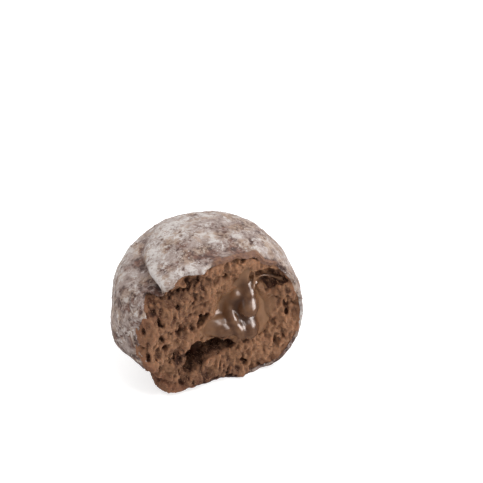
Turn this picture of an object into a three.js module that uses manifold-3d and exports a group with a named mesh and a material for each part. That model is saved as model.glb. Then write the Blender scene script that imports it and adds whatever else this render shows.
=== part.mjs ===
// A small chocolate doughnut ball with its front torn away, so that the crumb and the chocolate filling show.
// Millimetres, +Z up. The origin is the middle of the flat underside, and the torn face looks along -Y,
// turned a little towards +X.
//
// The ball is a settled, slightly squared spheroid with swells and folds in its skin. A craggy tool tears its
// front away. The filling is a chain of lobes that runs from the torn face into the middle of the dough.

import * as THREE from "three";
import { mergeVertices } from "three/addons/utils/BufferGeometryUtils.js";
import { ImprovedNoise } from "three/addons/math/ImprovedNoise.js";
import Module from "manifold-3d";

// The whole ball, before it was torn
const BALL_WIDTH = 53;
const BALL_DEPTH = 52;
const BALL_HEIGHT = 47;
const BALL_SQUARENESS = 2.25; // 2 is an ellipsoid
const BALL_DETAIL = 13; // rows of facets on each face of the icosahedron that it starts from
const MIDDLE_HEIGHT = 21.3; // above the table, and less than half the ball's height, as the dough has settled

// The tear: a rough upright face
const TEAR_TURN = THREE.MathUtils.degToRad(19); // from straight ahead, towards +X
const TEAR_FROM_AXIS = 9.4; // from the ball's axis to the middle plane of the torn face
const TEAR_CELL = 1.35; // size of the facets on the torn face
const TEAR_TOOL_WIDTH = 62;
const TEAR_TOOL_HEIGHT = 58;
const TEAR_TOOL_DEPTH = 34;
const TEAR_TOOL_FOOT = -4; // the tool starts a little below the table

// Crags of the torn crumb, laid out as the seeds of a sunflower are
const CRAG_COUNT = 420;
const CRAG_FIELD = 30; // radius of the field of crags
const CRAG_PIT_SHARE = 0.55; // share of the crags that are pits
const CRAG_WIDTH = [1.5, 3]; // narrowest and widest
const CRAG_HEIGHT = [0.35, 1.05];
const PIT_DEPTH = [0.4, 1.3];
const GOLDEN_ANGLE = Math.PI * (3 - Math.sqrt(5));

const FILLING_GAP = 0.3; // between the filling and the dough
const TABLE_SIZE = 2 * BALL_WIDTH; // of the block that stands for the table

// Slow swells of the ball's skin: the direction from the ball's middle, the angle it reaches, and its height
const SWELLS = {
  leftCheek: { toward: [-0.9, -0.35, -0.2], reach: 0.36, height: 1 },
  underLeftCheek: { toward: [-0.7, -0.5, -0.52], reach: 0.25, height: -3.4 },
  lowerRightCheek: { toward: [0.76, -0.08, -0.64], reach: 0.38, height: 2.3 },
  upperLeftShoulder: { toward: [-0.66, 0.5, 0.56], reach: 0.36, height: -1 },
  upperRightShoulder: { toward: [0.78, 0.4, 0.48], reach: 0.42, height: -1.7 },
  backDimple: { toward: [0.25, 0.93, 0.2], reach: 0.4, height: -0.9 },
};

// Folds of the skin, each along a path of directions: a ridge where height is over 0, and a groove below it.
// A fold grows along its path to its whole height at the end.
const FOLD_GROWTH_START = -0.25; // as a share of the path, so a fold already has some height where it starts
const FOLDS = {
  creaseBesideLip: {
    path: [[-0.65, 0.4, 0.64], [-0.73, -0.1, 0.67], [-0.66, -0.38, 0.65], [-0.54, -0.53, 0.66]],
    width: 2.6,
    height: -3.2,
  },
  tornLip: {
    path: [[0.3, -0.38, 0.87], [-0.17, -0.5, 0.85], [-0.47, -0.5, 0.73]],
    width: 3,
    height: 1.1,
  },
  slackBehindRim: {
    path: [[-0.36, -0.3, 0.88], [0.0, -0.27, 0.96], [0.42, -0.12, 0.9]],
    width: 1.8,
    height: -0.8,
  },
  leftRidge: {
    path: [[-0.66, 0.55, 0.5], [-0.84, 0.12, 0.52], [-0.86, -0.3, 0.4]],
    width: 2.4,
    height: 0.7,
  },
  rightRidge: {
    path: [[0.44, 0.35, 0.83], [0.51, 0.0, 0.86], [0.53, -0.22, 0.82]],
    width: 1.8,
    height: 0.6,
  },
};

// Wide forms of the torn face: a point across it and up from the table, half sizes, and how far it stands out
const FACE_FORMS = {
  leftMound: { at: [-13, 27], size: [8, 10], out: 2.4 },
  leftEdge: { at: [-21, 17], size: [4.5, 10], out: 4.6 },
  lipEdge: { at: [-11, 39], size: [8, 5], out: 2.4 },
  fillingDish: { at: [7, 23], size: [9, 11], out: -3.8 },
  rightEdge: { at: [23, 26], size: [5, 9], out: 1.8 },
  topEdge: { at: [4, 44], size: [14, 4], out: -1.4 },
  shelf: { at: [-1, 4], size: [13, 5], out: 2.6 },
  lowerRight: { at: [20, 8], size: [8, 6], out: 1.6 },
  flap: { at: [-15, 1], size: [6, 6], out: 2.6 },
};

// A flap of crust and crumb that the tear pulled out and down on to the table
const FLAP = { at: [-12.5, 3.6, -4], size: [6.6, 5, 8.4], tilt: 10 };

// Lobes of the filling: middle across, up and out, half sizes, and tilt in the plane of the torn face
const FILLING_LOBES = {
  core: { at: [3.5, 21, -12], size: [10.5, 8.5, 9.5], tilt: 0 },
  pool: { at: [8.3, 22.5, -4.2], size: [6.2, 9.6, 4.6], tilt: -4 },
  neck: { at: [8.4, 31.6, -4.8], size: [2.3, 5.4, 2.6], tilt: 6 },
  tongue: { at: [1.2, 18.8, -2.2], size: [6, 3.9, 4.4], tilt: -12 },
  ledge: { at: [-5.4, 17.2, -3], size: [4.6, 1.5, 3.4], tilt: 4 },
};

// Empty hollows in the crumb beside the filling, given in the same way
const HOLLOWS = {
  upper: { at: [14, 33, -5], size: [5.6, 4.9, 7.6], tilt: -18 },
  cleft: { at: [-1, 13.2, -2.2], size: [8.4, 2.4, 7], tilt: 4 },
  cleftFoot: { at: [-7.6, 9.8, -1.6], size: [4.4, 2.9, 5.8], tilt: 38 },
  notch: { at: [-21, 10, 0], size: [8, 2.6, 6.4], tilt: -4 },
  slit: { at: [-4.1, 23.4, -0.6], size: [1.4, 3.4, 4], tilt: -34 },
};

const LOBE_DETAIL = 4;
const LOBE_ROUGHNESS = 0.09;
const LOBE_ROUGHNESS_SCALE = 1.6;

const wasm = await Module();
wasm.setup();
const noise = new ImprovedNoise();

// A closed geometry as a solid that can be joined and cut.
function solidOf(geometry) {
  const bare = geometry.clone();
  bare.deleteAttribute("normal");
  bare.deleteAttribute("uv");
  const merged = mergeVertices(bare, 1e-4);
  return new wasm.Manifold(
    new wasm.Mesh({
      numProp: 3,
      vertProperties: new Float32Array(merged.attributes.position.array),
      triVerts: new Uint32Array(merged.index.array),
    }),
  );
}

// A solid's surface as a geometry, with flat facets.
function geometryOf(solid) {
  const { vertProperties, triVerts } = solid.getMesh();
  const geometry = new THREE.BufferGeometry();
  geometry.setAttribute("position", new THREE.BufferAttribute(vertProperties, 3));
  geometry.setIndex(new THREE.BufferAttribute(triVerts, 1));
  geometry.computeVertexNormals();
  return geometry;
}

// Moves each vertex of a geometry to where place(vertex) puts it.
function moveVertices(geometry, place) {
  const position = geometry.getAttribute("position");
  const vertex = new THREE.Vector3();
  for (let i = 0; i < position.count; i++) {
    vertex.fromBufferAttribute(position, i);
    place(vertex);
    position.setXYZ(i, vertex.x, vertex.y, vertex.z);
  }
  return geometry;
}

// The same number between 0 and 1 each time for crag i and its property k.
function roll(i, k) {
  const wave = Math.sin(i * 12.9898 + k * 78.233) * 43758.5453;
  return wave - Math.floor(wave);
}

const bell = (distance, width) => Math.exp(-((distance / width) ** 2));

// Height of the swells towards a direction.
function swellHeight(direction) {
  let height = 0;
  for (const swell of Object.values(SWELLS)) {
    const toward = new THREE.Vector3(...swell.toward).normalize();
    height += swell.height * bell(direction.angleTo(toward), swell.reach);
  }
  return height;
}

// Height of one fold towards a direction, from the nearest point of its path.
function foldHeight(direction, fold, radius) {
  const stops = fold.path.map((stop) => new THREE.Vector3(...stop).normalize());
  const line = new THREE.Line3();
  const nearest = new THREE.Vector3();
  let distance = Infinity;
  let along = 0;
  for (let i = 0; i + 1 < stops.length; i++) {
    line.set(stops[i], stops[i + 1]);
    const share = line.closestPointToPointParameter(direction, true);
    line.at(share, nearest);
    const here = nearest.distanceTo(direction) * radius;
    if (here < distance) {
      distance = here;
      along = (i + share) / (stops.length - 1);
    }
  }
  return fold.height * THREE.MathUtils.smoothstep(along, FOLD_GROWTH_START, 1) * bell(distance, fold.width);
}

// Distance from the ball's middle to its skin towards a direction.
function ballRadius(direction) {
  const share = (value, size) => Math.abs(value / (size / 2)) ** BALL_SQUARENESS;
  const sum =
    share(direction.x, BALL_WIDTH) + share(direction.y, BALL_DEPTH) + share(direction.z, BALL_HEIGHT);
  const plain = sum ** (-1 / BALL_SQUARENESS);
  let folds = 0;
  for (const fold of Object.values(FOLDS)) folds += foldHeight(direction, fold, plain);
  return plain + swellHeight(direction) + folds;
}

function wholeBall() {
  const geometry = moveVertices(new THREE.IcosahedronGeometry(1, BALL_DETAIL), (vertex) =>
    vertex.normalize().multiplyScalar(ballRadius(vertex)),
  );
  return solidOf(geometry.translate(0, 0, MIDDLE_HEIGHT));
}

// The crags as a list of bumps and pits, each with its place, width and height.
function cragList() {
  const middle = new THREE.Vector2(0, MIDDLE_HEIGHT);
  return Array.from({ length: CRAG_COUNT }, (_, i) => {
    const reach = CRAG_FIELD * Math.sqrt((i + 0.5) / CRAG_COUNT);
    const angle = i * GOLDEN_ANGLE;
    const isPit = roll(i, 1) < CRAG_PIT_SHARE;
    return {
      at: new THREE.Vector2(Math.cos(angle), Math.sin(angle)).multiplyScalar(reach).add(middle),
      width: THREE.MathUtils.lerp(...CRAG_WIDTH, roll(i, 2)),
      height: isPit
        ? -THREE.MathUtils.lerp(...PIT_DEPTH, roll(i, 3))
        : THREE.MathUtils.lerp(...CRAG_HEIGHT, roll(i, 3)),
    };
  });
}

const crags = cragList();

// How far the torn face stands out of its plane at a point across and up.
function tearRelief(across, up) {
  let out = 0;
  for (const form of Object.values(FACE_FORMS)) {
    const x = (across - form.at[0]) / form.size[0];
    const y = (up - form.at[1]) / form.size[1];
    out += form.out * Math.exp(-x * x - y * y);
  }
  for (const crag of crags) {
    out += crag.height * bell(Math.hypot(across - crag.at.x, up - crag.at.y), crag.width);
  }
  return out;
}

// From the torn face's own frame (across, up, out) to the doughnut's.
const tearFrame = new THREE.Matrix4()
  .makeBasis(
    new THREE.Vector3(Math.cos(TEAR_TURN), Math.sin(TEAR_TURN), 0),
    new THREE.Vector3(0, 0, 1),
    new THREE.Vector3(Math.sin(TEAR_TURN), -Math.cos(TEAR_TURN), 0),
  )
  .multiply(new THREE.Matrix4().makeTranslation(0, 0, TEAR_FROM_AXIS));

// A block whose inner face has the relief of the torn crumb.
function tearTool() {
  const columns = Math.round(TEAR_TOOL_WIDTH / TEAR_CELL);
  const rows = Math.round(TEAR_TOOL_HEIGHT / TEAR_CELL);
  const geometry = new THREE.BoxGeometry(
    TEAR_TOOL_WIDTH,
    TEAR_TOOL_HEIGHT,
    TEAR_TOOL_DEPTH,
    columns,
    rows,
    1,
  ).translate(0, TEAR_TOOL_HEIGHT / 2 + TEAR_TOOL_FOOT, TEAR_TOOL_DEPTH / 2);
  moveVertices(geometry, (vertex) => {
    if (vertex.z < TEAR_TOOL_DEPTH / 2) vertex.z = tearRelief(vertex.x, vertex.y);
  });
  return solidOf(geometry.applyMatrix4(tearFrame));
}

// A slightly uneven ellipsoid in the torn face's frame, grown on every side by grow.
function lump({ at, size, tilt }, grow = 0) {
  const geometry = moveVertices(new THREE.IcosahedronGeometry(1, LOBE_DETAIL), (vertex) => {
    const bump = noise.noise(
      vertex.x * LOBE_ROUGHNESS_SCALE + at[0],
      vertex.y * LOBE_ROUGHNESS_SCALE + at[1],
      vertex.z * LOBE_ROUGHNESS_SCALE + at[2],
    );
    vertex
      .multiply(new THREE.Vector3(...size).addScalar(grow))
      .multiplyScalar(1 + LOBE_ROUGHNESS * bump);
  });
  geometry.rotateZ(THREE.MathUtils.degToRad(tilt)).translate(...at);
  return solidOf(geometry.applyMatrix4(tearFrame));
}

function joined(solids) {
  return solids.reduce((whole, solid) => whole.add(solid));
}

// Everything under the table's surface.
function table() {
  return solidOf(
    new THREE.BoxGeometry(TABLE_SIZE, TABLE_SIZE, TABLE_SIZE).translate(0, 0, -TABLE_SIZE / 2),
  );
}

// The largest of the pieces that a solid falls into: the tear leaves loose scraps.
function withoutScraps(solid) {
  return solid.decompose().reduce((a, b) => (b.volume() > a.volume() ? b : a));
}

function dough() {
  const torn = wholeBall().add(lump(FLAP)).subtract(table()).subtract(tearTool());
  const bed = joined(Object.values(FILLING_LOBES).map((lobe) => lump(lobe, FILLING_GAP)));
  const hollows = joined(Object.values(HOLLOWS).map((hollow) => lump(hollow)));
  return withoutScraps(torn.subtract(bed).subtract(hollows));
}

function filling() {
  return joined(Object.values(FILLING_LOBES).map((lobe) => lump(lobe)));
}

// A named piece of the doughnut.
function piece(name, solid, finish) {
  const mesh = new THREE.Mesh(
    geometryOf(solid),
    new THREE.MeshStandardMaterial({ ...finish, flatShading: true }),
  );
  mesh.name = name;
  return mesh;
}

const doughnut = new THREE.Group();
doughnut.name = "chocolate_doughnut_ball";
doughnut.add(
  piece("dough", dough(), { color: 0x8b5a41, roughness: 0.85, metalness: 0 }),
  piece("chocolate_filling", filling(), { color: 0x6e4a35, roughness: 0.25, metalness: 0 }),
);

export default doughnut;
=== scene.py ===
"""A sugar-dusted chocolate doughnut ball, torn open at the front to show its crumb and filling.

Lengths are metres and +Z is up. The torn face has its own frame: across it, up from the table, and out
along its normal. What the tables give in that frame is in millimetres, and a tilt is in degrees.
Directions of places on the skin are taken from the middle of the ball.
"""

import math
import random
from contextlib import contextmanager

import bmesh
import bpy
import numpy as np
from bpy.props import FloatProperty, FloatVectorProperty, IntProperty, PointerProperty
from mathutils import Matrix, Vector, noise


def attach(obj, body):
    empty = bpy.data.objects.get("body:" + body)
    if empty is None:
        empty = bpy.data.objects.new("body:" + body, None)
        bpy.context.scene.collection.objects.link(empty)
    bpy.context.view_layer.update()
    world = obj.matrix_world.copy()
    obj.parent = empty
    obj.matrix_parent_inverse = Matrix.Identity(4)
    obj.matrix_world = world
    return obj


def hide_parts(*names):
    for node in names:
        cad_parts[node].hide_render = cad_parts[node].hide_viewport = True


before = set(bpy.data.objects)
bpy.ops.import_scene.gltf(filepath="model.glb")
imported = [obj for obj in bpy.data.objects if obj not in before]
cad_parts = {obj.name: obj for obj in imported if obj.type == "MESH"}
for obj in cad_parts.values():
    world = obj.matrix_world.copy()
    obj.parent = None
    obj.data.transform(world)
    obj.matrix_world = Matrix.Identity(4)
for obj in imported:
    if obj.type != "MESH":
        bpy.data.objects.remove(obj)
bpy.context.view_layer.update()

bl_info = {
    "name": "Torn Chocolate Doughnut Ball",
    "version": (1, 0, 0),
    "blender": (4, 5, 0),
    "location": "3D View > Sidebar > Doughnut",
    "description": "Builds a sugar-dusted chocolate doughnut ball, torn open at the front",
    "category": "Object",
}

MM = 0.001
GOLDEN_ANGLE = math.pi * (3 - math.sqrt(5))

# The digits after the point of a sine this high are as good as random
DIGIT_WAVES = (12.9898, 78.233, 37.719)
DIGIT_HEIGHT = 43758.5453

# Slow swells of the ball's skin: a direction, the angle it reaches, and its height
SWELLS = {
    "left cheek": ((-0.9, -0.35, -0.2), 0.36, 1.0 * MM),
    "under left cheek": ((-0.7, -0.5, -0.52), 0.25, -3.4 * MM),
    "lower right cheek": ((0.76, -0.08, -0.64), 0.38, 1.0 * MM),
    "upper left shoulder": ((-0.66, 0.5, 0.56), 0.36, -1.0 * MM),
    "upper right shoulder": ((0.78, 0.4, 0.48), 0.42, -1.7 * MM),
    "back dimple": ((0.25, 0.93, 0.2), 0.4, -0.9 * MM),
}

# Folds of the skin: a path of directions, a width, and a height, under 0 for a groove
FOLDS = {
    "crease beside lip": (
        ((-0.65, 0.4, 0.64), (-0.73, -0.1, 0.67), (-0.66, -0.38, 0.65), (-0.54, -0.53, 0.66)),
        2.6 * MM, -3.2 * MM,
    ),
    "torn lip": (((0.3, -0.38, 0.87), (-0.17, -0.5, 0.85), (-0.47, -0.5, 0.73)), 3.0 * MM, 1.1 * MM),
    "slack behind rim": (((-0.36, -0.3, 0.88), (0, -0.27, 0.96), (0.42, -0.12, 0.9)), 1.8 * MM, -0.8 * MM),
    "lip underside": (
        ((-0.74, 0.1, 0.67), (-0.68, -0.22, 0.7), (-0.6, -0.4, 0.69), (-0.49, -0.57, 0.66)),
        1.0 * MM, -2.0 * MM,
    ),
    "lip edge": (
        ((-0.66, 0.02, 0.75), (-0.62, -0.27, 0.74), (-0.54, -0.43, 0.73), (-0.42, -0.56, 0.71)),
        1.5 * MM, 1.1 * MM,
    ),
    "left ridge": (((-0.66, 0.55, 0.5), (-0.84, 0.12, 0.52), (-0.86, -0.3, 0.4)), 2.4 * MM, 0.7 * MM),
    "right ridge": (((0.44, 0.35, 0.83), (0.51, 0, 0.86), (0.53, -0.22, 0.82)), 1.8 * MM, 0.6 * MM),
}
# Where along its path a fold or wrinkle starts to grow, as a share of the path
FOLD_GROWTH_START, WRINKLE_GROWTH_START = -0.25, -1

# Thin wrinkles of the fried skin, given as the folds are
WRINKLES = {
    "left upper": (((-0.87, 0.24, 0.42), (-0.9, -0.3, 0.3)), 0.9 * MM, -0.45 * MM),
    "left middle": (((-0.72, -0.11, 0.68), (-0.76, -0.53, 0.37)), 0.8 * MM, -0.5 * MM),
    "left lower": (((-0.78, -0.45, 0.44), (-0.73, -0.69, 0.02)), 0.8 * MM, -0.5 * MM),
    "crown": (((-0.07, -0.02, 1.0), (-0.01, -0.13, 0.99)), 0.7 * MM, -0.4 * MM),
    "right crown": (((0.46, 0.23, 0.86), (0.49, -0.02, 0.87)), 0.7 * MM, -0.4 * MM),
}

# Uneven skin: size of its waves and their height
SKIN_WAVES = ((9 * MM, 0.45 * MM), (3.2 * MM, 0.22 * MM), (1.3 * MM, 0.1 * MM))

# The block that tears the ball open, with the relief of the face on one side
BLOCK_WIDTH, BLOCK_FOOT, BLOCK_TOP, BLOCK_DEPTH = 62 * MM, -4 * MM, 54 * MM, 34 * MM

# Crags of the torn face: how many there are, and the radius of their field in millimetres
CRAGS, CRAG_FIELD = 420, 30

# The bare rim above the tear: its ends across, how far they fade, its lowest place, and how deep it is
RIM_LEFT, RIM_RIGHT, RIM_FADE, RIM_FOOT, RIM_DEPTH = -3, 19, 4, 30, 1.3

# How far the crumb reaches into the skin, and how high over the table the lowest clumps of sugar are
SKIN_OVERLAP = 0.3 * MM
LOWEST_CLUMP = 1.5 * MM

# Wide forms of the torn face: a point across and up, half sizes, and how far it stands out
FACE_FORMS = {
    "left mound": ((-13, 27), (8, 10), 2.4),
    "left edge": ((-21, 17), (4.5, 10), 4.6),
    "lip edge": ((-11, 39), (8, 5), 2.4),
    "filling dish": ((7, 23), (9, 11), -3.8),
    "right edge": ((23, 26), (5, 9), 1.8),
    "top edge": ((4, 44), (14, 4), -1.4),
    "shelf": ((-1, 4), (13, 5), 2.6),
    "lower right": ((20, 8), (8, 6), 1.6),
    "flap": ((-15, 1), (6, 6), 2.6),
    "lip notch": ((-18.4, 36), (3, 3), -3.6),
    "low left edge": ((-22, 14), (3.4, 7), 1.6),
}

# Forms of the skin's torn edge alone, which stands a little before the crumb
SKIN_FORMS = {
    "above flap": ((-21, 6), (8, 7.4), -12),
    "lip side": ((-10.8, 38.4), (2.6, 3), -2.6),
    "beside lip": ((-5.8, 41), (3.4, 3), 1.3),
}
SKIN_BEFORE_CRUMB = 0.3 * MM

# Forms of the crumb alone, which draws back from the skin's torn edge
CRUMB_FORMS = {
    "under lip": ((-9, 37.6), (8.5, 3.4), -2.4),
    "left of filling": ((1, 27), (4, 5), -1.4),
    "behind drip": ((9, 32.5), (3.2, 4.2), -2.2),
    "left hollow": ((-13, 22), (3.5, 4), -1.4),
    "middle ridge": ((-3, 34), (3, 5), 1.0),
    "top rim": ((6, 43), (12, 2), -1.3),
}
# Lighter and darker stretches of the crumb, some its own tone and some painted shade and painted light as
# marked: a place across and up, half sizes, and how much lighter
CRUMB_TONES_AND_SHADING = (
    ((20, 16), (6, 9), 0.2),
    ((14, 8), (10, 5), 0.22),
    ((2, 34), (6, 5), 0.06),
    # Painted shade under the overhanging lip
    ((-10, 36.5), (9, 4), -0.34),
    # Painted shade below the lip's left end
    ((-18.5, 32), (4.4, 5), -0.34),
    ((-17, 8), (6, 5), -0.28),
    # This line and the next darken the cleft as painted shade
    ((-3.5, 13.6), (8.5, 2.6), -0.6),
    ((-9.6, 10.6), (3.6, 3), -0.4),
    # Painted shade along the bottom of the face
    ((-2, 3), (12, 4), -0.5),
    ((-13, 22), (7, 8), -0.2),
    # Painted shade under the bottom lip
    ((-4.5, 2.4), (4.6, 1.6), -0.4),
    # Painted shade down the right edge
    ((21, 28), (4, 8), -0.2),
    # Painted light in the upper hollow
    ((14.5, 34), (4.2, 3.2), 0.6),
    ((19.5, 33.5), (2.6, 4), -0.15),
    ((14, 29.4), (5, 1.3), -0.15),
)

# A flap of crust and crumb pulled out on to the table. Middle across, up and out, half sizes, and tilt
FLAP = ((-12.5, 3.6, -4), (6.6, 5, 8.4), 10)

# Lobes of the filling, given as the flap is
FILLING_LOBES = {
    "core": ((3.5, 21, -12), (10.5, 8.5, 9.5), 0),
    "pool": ((8.3, 22.5, -4.2), (6.2, 9.6, 4.6), -4),
    "neck": ((8.4, 31.6, -4.8), (2.3, 5.4, 2.6), 6),
    "tongue": ((1.2, 18.8, -2.2), (6, 3.9, 4.4), -12),
    "ledge": ((-5.4, 17.2, -3), (4.6, 1.5, 3.4), 4),
}
# Runs of the filling: places across and up, how far the front stands out of the plane, and the radius
RUNS = {
    "drip": (
        (8.8, 34.0, -2.2, 0.9), (9.0, 31.6, -1.6, 1.2), (9.3, 29.7, -0.4, 1.8), (9.5, 28.5, 0.6, 2.1),
        (9.3, 27.8, 0.5, 2.3), (9.1, 26.5, 1.5, 2.9), (9.0, 24.8, 3.1, 3.1),
    ),
    "nested drop": ((8.6, 20.4, 0.2, 2.6), (8.9, 17.8, 2.5, 3.3), (9.0, 16.4, 2.9, 3.2)),
    "left bead": ((6.2, 29.3, -2.4, 1.2), (6.1, 28.1, -0.6, 1.6)),
    "left fold": (
        (3.9, 24.2, -0.6, 1.4), (4.3, 21.4, 1.6, 1.8), (4.9, 20.0, 1.9, 1.6), (5.6, 18.6, 2.9, 1.8),
        (6.2, 16.8, 3.2, 1.7),
    ),
    "tongue": ((5.6, 18.4, 0.9, 1.5), (1.2, 18.4, 0.4, 1.5), (-3.1, 18.2, 0.2, 1.2)),
    "tongue bead": ((1.7, 21.3, 0.2, 0.9), (2.0, 20.4, 1.0, 1.2)),
    "tongue end": ((-3.0, 20.0, -0.4, 0.9), (-2.7, 19.0, 0.7, 1.2)),
}
RUN_STEPS = 8  # from one place to the next
RUN_DEPTH = 1.3  # of its radius

# The film that the filling leaves on the crumb: a place across and up, half sizes, and how thick it is
FILM = {
    "pool": ((8.6, 22.4), (5.6, 8.6), 3.0),
    "lower pool": ((8.6, 17), (5.0, 3.8), 2.0),
    "tongue": ((1, 18.6), (5.6, 5.6), 1.75),
    "neck": ((8.8, 33.4), (1.7, 3.8), 1.9),
}
FILM_SUNK = 1.3 * MM  # how far its edge lies under the face
FILM_DEPTH = 12 * MM

# Hollows of the torn face, given as the flap is
HOLLOWS = {
    "upper": ((15, 32.6, -1.2), (4.9, 3.8, 3.3), -20),
    "beside neck": ((12.3, 34.0, -1.8), (2.4, 3.0, 3.0), 0),
    "cleft": ((-2.8, 12.8, -2.2), (7.4, 3.0, 7), -8),
    "cleft corner": ((-6.4, 14.0, -2), (4.2, 2.5, 6), 0),
    "cleft foot": ((-7.2, 9.8, -1.6), (4.4, 2.9, 5.8), 38),
    "notch": ((-23.4, 12.4, 0.5), (7.4, 2.6, 7.5), -8),
    "slit": ((-4.1, 23.4, -0.6), (1.4, 3.4, 4), -34),
}

# Large air bubbles cut open: a place across and up, half sizes, and depth of the middle
PORES = (
    ((18.9, 13.1), (1.1, 1.9), 0.3),
    ((17.5, 10.1), (1.2, 1.3), 0.3),
    ((13.8, 13.5), (1.2, 0.9), 0.2),
    ((-17.6, 28.7), (0.8, 2.2), 0.3),
    ((-11.8, 32.1), (0.9, 1.3), 0.3),
    ((-6.8, 30.2), (0.8, 1.4), 0.3),
    ((-11.6, 21.3), (1.3, 1.0), 0.3),
    ((-16.2, 19.3), (1.4, 1.3), 0.4),
    ((-11.7, 37.2), (3.6, 1.2), 0.6),
    ((-21.8, 27.4), (0.9, 1.4), 0.3),
    ((-20.8, 32.4), (0.8, 1.2), 0.3),
    ((-19.6, 22.7), (1.0, 1.2), 0.4),
    ((-21.4, 18.4), (0.8, 1.1), 0.3),
    ((-15.4, 13.4), (1.1, 0.9), 0.4),
    ((11.6, 30.2), (1.0, 1.0), 0.8),
    ((14.6, 28.9), (0.9, 1.2), 0.4),
    ((17.8, 25.2), (0.8, 1.3), 0.3),
    ((20.0, 27.0), (0.7, 1.4), 0.3),
    ((20.6, 21.5), (0.9, 1.2), 0.3),
    ((20.2, 18.2), (0.8, 0.8), 0.3),
)
PORE_HALF_DEPTH = 1.3

# Crumb that the filling has soaked and smoothed: middle across and up, and half sizes
SMEARS = {
    "around pool": ((8.4, 23.5), (7, 11.5)),
    "around tongue": ((0.8, 19), (6.6, 4.6)),
    "right": ((13.6, 22.5), (4.4, 6.4)),
    "above tongue": ((3.4, 26), (3.6, 4)),
}

# How far behind the torn face grains of crumb still lie
GRAIN_DEPTH = 7 * MM

# Strings of filling across the upper hollow: places across, up and out, and radius
STRANDS = (
    (((10.6, 36.2, -3), (11.4, 34.6, -2.6), (11.2, 32.6, -2), (10.6, 30.2, -1.4)), 0.4),
    (((11.6, 32.2, -3), (14, 32, -3.8), (16.6, 31.2, -3.8), (19.4, 30.6, -2)), 0.42),
)
STRAND_STEPS = 10  # from one place to the next

# Patches where sugar lies thick, and where the skin shows: a direction, the angle it reaches, and how much
SUGAR_PATCHES = (
    ((-0.51, -0.22, 0.83), 0.16, 0.22),
    ((-0.56, -0.4, 0.72), 0.08, 0.15),
    ((-0.63, -0.3, 0.72), 0.035, 0.35),
    ((-0.57, -0.39, 0.72), 0.04, 0.4),
    ((-0.5, -0.49, 0.71), 0.045, 0.5),
    ((-0.44, -0.55, 0.71), 0.04, 0.5),
    ((-0.15, -0.47, 0.87), 0.1, 0.4),
    ((-0.36, 0.35, 0.87), 0.24, 0.22),
    ((-0.07, 0.02, 1.0), 0.04, 0.35),
    ((0.38, 0.1, 0.92), 0.06, 0.35),
    ((0.65, -0.02, 0.76), 0.1, 0.1),
    ((-0.79, 0.21, 0.57), 0.09, 0.3),
)
# Where bare patches lie in the valley beside the lip, the darker skin they show also paints shade there
BARE_PATCHES = (
    ((-0.24, -0.16, 0.96), 0.13, 0.32),
    ((-0.35, -0.39, 0.85), 0.08, 0.4),
    ((-0.43, -0.14, 0.89), 0.03, 0.6),
    ((0.33, -0.1, 0.94), 0.11, 0.4),
    ((0.2, 0.1, 0.97), 0.14, 0.16),
    ((-0.04, -0.32, 0.95), 0.1, 0.36),
    ((0.12, -0.34, 0.93), 0.08, 0.3),
    ((-0.68, 0.18, 0.71), 0.09, 0.2),
    ((-0.77, -0.08, 0.64), 0.09, 0.25),
    ((-0.6, -0.52, 0.61), 0.1, 0.3),
    ((0.63, 0.54, 0.55), 0.2, 0.2),
    ((-0.82, -0.4, 0.4), 0.2, 0.2),
    ((0.72, -0.4, -0.56), 0.24, 0.6),
    ((-0.8, -0.5, -0.3), 0.35, 0.3),
    ((-0.3, -0.8, -0.5), 0.5, 0.6),
    ((0.35, 0.9, 0.1), 0.2, 0.35),
    ((-0.45, 0.85, -0.2), 0.24, 0.3),
    ((0.85, 0.5, -0.1), 0.2, 0.3),
    ((-0.75, 0.55, 0.3), 0.14, 0.3),
)

# Where the white surround is brightest
BRIGHTEST_SIDE = (0, 0.6, 0.8)
# Lamps: a place, width and height in metres, and power in watts
LAMPS = {
    "wide overhead": ((0.3, 0.1, 0.62), (0.5, 0.5), 1.9),
    "left": ((-0.42, -0.2, 0.2), (0.1, 0.3), 0.4),
    "right": ((0.44, -0.14, 0.2), (0.1, 0.3), 1.0),
    "front overhead": ((0.05, -0.2, 0.62), (0.12, 0.12), 0.7),
}
# Lamps that show only as gloss on the filling, and their colour
GLOSS_LAMPS = {
    "gloss right": ((0.49, -0.16, 0.21), (0.46, 0.4), 8.6),
    "gloss overhead": ((0.145, -0.25, 0.47), (0.24, 0.24), 1.7),
}
GLOSS_COLOUR = (1, 0.95, 0.92)
LAMP_TARGET = (0, 0, 0.02)


def srgb(red, green, blue):
    """A colour given by its 0 to 255 screen values, as Blender's linear colour."""
    shares = (value / 255 for value in (red, green, blue))
    return tuple(s / 12.92 if s <= 0.04045 else ((s + 0.055) / 1.055) ** 2.4 for s in shares)


def setting(kind, **options):
    """A function that makes settings of one kind."""

    def make(name, description, default):
        return kind(name=name, description=description, default=default, **options)

    return make


length = setting(FloatProperty, unit="LENGTH", precision=5)
angle = setting(FloatProperty, subtype="ANGLE")
count = setting(IntProperty, min=0)
colour = setting(FloatVectorProperty, subtype="COLOR", size=3, min=0, max=1)


class DoughSettings(bpy.types.PropertyGroup):
    """Form and colours of the dough ball."""

    width: length("Width", "Widest way across the whole ball", 53 * MM)
    depth: length("Depth", "The whole ball from front to back", 52 * MM)
    height: length("Height", "The whole ball before it settled", 47 * MM)
    middle_height: length("Middle height", "Middle of the ball above the table", 21.3 * MM)
    squareness: FloatProperty(
        name="Squareness", description="2 is an ellipsoid and more is squarer", default=2.25, min=2
    )
    skin_thickness: length("Skin thickness", "Thickness of the fried skin", 0.9 * MM)
    tear_turn: angle("Tear turn", "Turn of the torn face from straight ahead", math.radians(19))
    tear_from_axis: length("Tear distance", "Torn face's middle plane from the ball's axis", 9.4 * MM)
    skin: colour("Skin", "Fried skin where no sugar lies", srgb(106, 73, 60))
    dark_skin: colour("Dark skin", "Darkest spots of the fried skin", srgb(64, 42, 35))
    torn_edge: colour("Torn edge", "Edge of the skin along the tear", srgb(124, 87, 63))


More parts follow.
